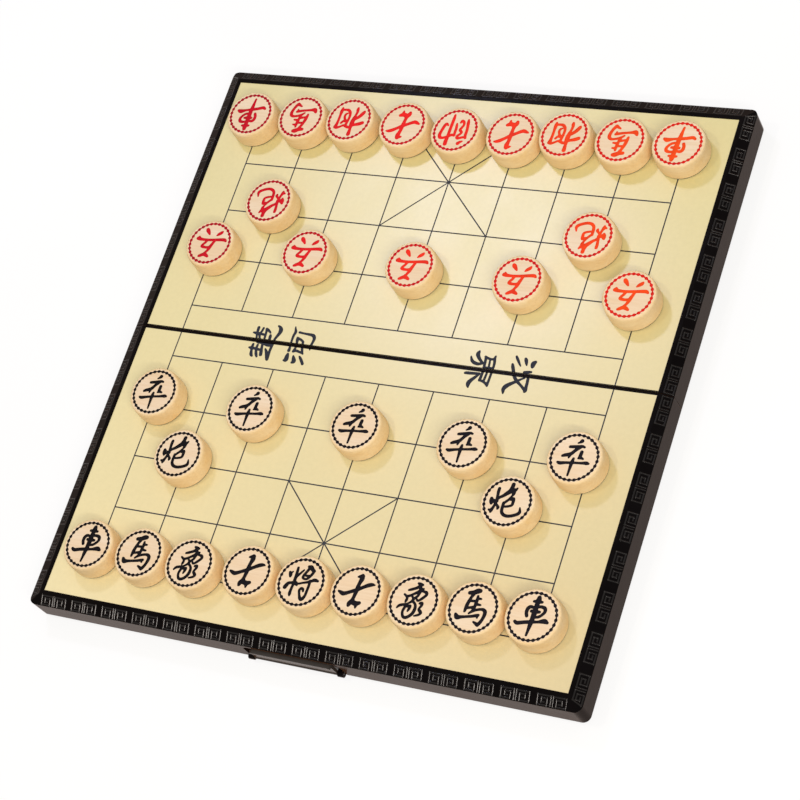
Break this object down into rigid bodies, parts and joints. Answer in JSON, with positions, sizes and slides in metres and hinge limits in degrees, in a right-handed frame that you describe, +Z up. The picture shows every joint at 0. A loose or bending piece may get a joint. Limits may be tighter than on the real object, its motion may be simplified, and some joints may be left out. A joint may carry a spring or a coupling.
{
  "type": "xiangqi chess box",
  "caption": "Folding xiangqi chess box lying open as a playing board, with wooden pieces set out for a game; two hinged trays fold underside to underside into a storage box.",
  "frame": {"origin": "on the ground below the middle of the open board, under the seam", "axes": "+X along the seam to black's right, +Y away from the black side across the seam, +Z up"},
  "size_m": [0.3186, 0.3374, 0.0302],
  "materials": {
    "plastic": "moulded black gloss",
    "steel": "plain tinplate",
    "pin_steel": "drawn wire",
    "print": "printed cream film, satin",
    "feet": "matte black rubber",
    "wood": "pale beech, satin lacquer"
  },
  "bodies": {
    "near_half": {"near_tray": "plastic", "near_steel_sheet": "steel", "near_board_print": "print", "near_feet": "feet", "hinge_pin_left": "pin_steel", "hinge_pin_right": "pin_steel", "clasp_pin": "pin_steel"},
    "far_half": {"far_tray": "plastic", "far_steel_sheet": "steel", "far_board_print": "print", "far_feet": "feet"},
    "clasp": {"clasp": "plastic"},
    "black_chariot_left": {"black_chariot_left": "wood"},
    "black_horse_left": {"black_horse_left": "wood"},
    "black_elephant_left": {"black_elephant_left": "wood"},
    "black_advisor_left": {"black_advisor_left": "wood"},
    "black_general": {"black_general": "wood"},
    "black_advisor_right": {"black_advisor_right": "wood"},
    "black_elephant_right": {"black_elephant_right": "wood"},
    "black_horse_right": {"black_horse_right": "wood"},
    "black_chariot_right": {"black_chariot_right": "wood"},
    "black_cannon_left": {"black_cannon_left": "wood"},
    "black_cannon_right": {"black_cannon_right": "wood"},
    "black_soldier_1": {"black_soldier_1": "wood"},
    "black_soldier_2": {"black_soldier_2": "wood"},
    "black_soldier_3": {"black_soldier_3": "wood"},
    "black_soldier_4": {"black_soldier_4": "wood"},
    "black_soldier_5": {"black_soldier_5": "wood"},
    "red_chariot_left": {"red_chariot_left": "wood"},
    "red_horse_left": {"red_horse_left": "wood"},
    "red_elephant_left": {"red_elephant_left": "wood"},
    "red_advisor_left": {"red_advisor_left": "wood"},
    "red_general": {"red_general": "wood"},
    "red_advisor_right": {"red_advisor_right": "wood"},
    "red_elephant_right": {"red_elephant_right": "wood"},
    "red_horse_right": {"red_horse_right": "wood"},
    "red_chariot_right": {"red_chariot_right": "wood"},
    "red_cannon_left": {"red_cannon_left": "wood"},
    "red_cannon_right": {"red_cannon_right": "wood"},
    "red_soldier_1": {"red_soldier_1": "wood"},
    "red_soldier_2": {"red_soldier_2": "wood"},
    "red_soldier_3": {"red_soldier_3": "wood"},
    "red_soldier_4": {"red_soldier_4": "wood"},
    "red_soldier_5": {"red_soldier_5": "wood"}
  },
  "joints": [
    {"name": "board_fold", "type": "hinge", "parent": "near_half", "child": "far_half", "pos_m": [0, 0, 0.0023], "axis": [-1, 0, 0], "range_deg": [0, 180]},
    {"name": "clasp_swing", "type": "hinge", "parent": "near_half", "child": "clasp", "pos_m": [0, -0.1679, 0.0046], "axis": [1, 0, 0], "range_deg": [0, 180]},
    {"name": "lift_black_chariot_left", "type": "slide", "parent": "near_half", "child": "black_chariot_left", "axis": [0, 0, 1], "range_m": [0, 0.03]},
    {"name": "lift_black_horse_left", "type": "slide", "parent": "near_half", "child": "black_horse_left", "axis": [0, 0, 1], "range_m": [0, 0.03]},
    {"name": "lift_black_elephant_left", "type": "slide", "parent": "near_half", "child": "black_elephant_left", "axis": [0, 0, 1], "range_m": [0, 0.03]},
    {"name": "lift_black_advisor_left", "type": "slide", "parent": "near_half", "child": "black_advisor_left", "axis": [0, 0, 1], "range_m": [0, 0.03]},
    {"name": "lift_black_general", "type": "slide", "parent": "near_half", "child": "black_general", "axis": [0, 0, 1], "range_m": [0, 0.03]},
    {"name": "lift_black_advisor_right", "type": "slide", "parent": "near_half", "child": "black_advisor_right", "axis": [0, 0, 1], "range_m": [0, 0.03]},
    {"name": "lift_black_elephant_right", "type": "slide", "parent": "near_half", "child": "black_elephant_right", "axis": [0, 0, 1], "range_m": [0, 0.03]},
    {"name": "lift_black_horse_right", "type": "slide", "parent": "near_half", "child": "black_horse_right", "axis": [0, 0, 1], "range_m": [0, 0.03]},
    {"name": "lift_black_chariot_right", "type": "slide", "parent": "near_half", "child": "black_chariot_right", "axis": [0, 0, 1], "range_m": [0, 0.03]},
    {"name": "lift_black_cannon_left", "type": "slide", "parent": "near_half", "child": "black_cannon_left", "axis": [0, 0, 1], "range_m": [0, 0.03]},
    {"name": "lift_black_cannon_right", "type": "slide", "parent": "near_half", "child": "black_cannon_right", "axis": [0, 0, 1], "range_m": [0, 0.03]},
    {"name": "lift_black_soldier_1", "type": "slide", "parent": "near_half", "child": "black_soldier_1", "axis": [0, 0, 1], "range_m": [0, 0.03]},
    {"name": "lift_black_soldier_2", "type": "slide", "parent": "near_half", "child": "black_soldier_2", "axis": [0, 0, 1], "range_m": [0, 0.03]},
    {"name": "lift_black_soldier_3", "type": "slide", "parent": "near_half", "child": "black_soldier_3", "axis": [0, 0, 1], "range_m": [0, 0.03]},
    {"name": "lift_black_soldier_4", "type": "slide", "parent": "near_half", "child": "black_soldier_4", "axis": [0, 0, 1], "range_m": [0, 0.03]},
    {"name": "lift_black_soldier_5", "type": "slide", "parent": "near_half", "child": "black_soldier_5", "axis": [0, 0, 1], "range_m": [0, 0.03]},
    {"name": "lift_red_chariot_left", "type": "slide", "parent": "far_half", "child": "red_chariot_left", "axis": [0, 0, 1], "range_m": [0, 0.03]},
    {"name": "lift_red_horse_left", "type": "slide", "parent": "far_half", "child": "red_horse_left", "axis": [0, 0, 1], "range_m": [0, 0.03]},
    {"name": "lift_red_elephant_left", "type": "slide", "parent": "far_half", "child": "red_elephant_left", "axis": [0, 0, 1], "range_m": [0, 0.03]},
    {"name": "lift_red_advisor_left", "type": "slide", "parent": "far_half", "child": "red_advisor_left", "axis": [0, 0, 1], "range_m": [0, 0.03]},
    {"name": "lift_red_general", "type": "slide", "parent": "far_half", "child": "red_general", "axis": [0, 0, 1], "range_m": [0, 0.03]},
    {"name": "lift_red_advisor_right", "type": "slide", "parent": "far_half", "child": "red_advisor_right", "axis": [0, 0, 1], "range_m": [0, 0.03]},
    {"name": "lift_red_elephant_right", "type": "slide", "parent": "far_half", "child": "red_elephant_right", "axis": [0, 0, 1], "range_m": [0, 0.03]},
    {"name": "lift_red_horse_right", "type": "slide", "parent": "far_half", "child": "red_horse_right", "axis": [0, 0, 1], "range_m": [0, 0.03]},
    {"name": "lift_red_chariot_right", "type": "slide", "parent": "far_half", "child": "red_chariot_right", "axis": [0, 0, 1], "range_m": [0, 0.03]},
    {"name": "lift_red_cannon_left", "type": "slide", "parent": "far_half", "child": "red_cannon_left", "axis": [0, 0, 1], "range_m": [0, 0.03]},
    {"name": "lift_red_cannon_right", "type": "slide", "parent": "far_half", "child": "red_cannon_right", "axis": [0, 0, 1], "range_m": [0, 0.03]},
    {"name": "lift_red_soldier_1", "type": "slide", "parent": "far_half", "child": "red_soldier_1", "axis": [0, 0, 1], "range_m": [0, 0.03]},
    {"name": "lift_red_soldier_2", "type": "slide", "parent": "far_half", "child": "red_soldier_2", "axis": [0, 0, 1], "range_m": [0, 0.03]},
    {"name": "lift_red_soldier_3", "type": "slide", "parent": "far_half", "child": "red_soldier_3", "axis": [0, 0, 1], "range_m": [0, 0.03]},
    {"name": "lift_red_soldier_4", "type": "slide", "parent": "far_half", "child": "red_soldier_4", "axis": [0, 0, 1], "range_m": [0, 0.03]},
    {"name": "lift_red_soldier_5", "type": "slide", "parent": "far_half", "child": "red_soldier_5", "axis": [0, 0, 1], "range_m": [0, 0.03]}
  ]
}
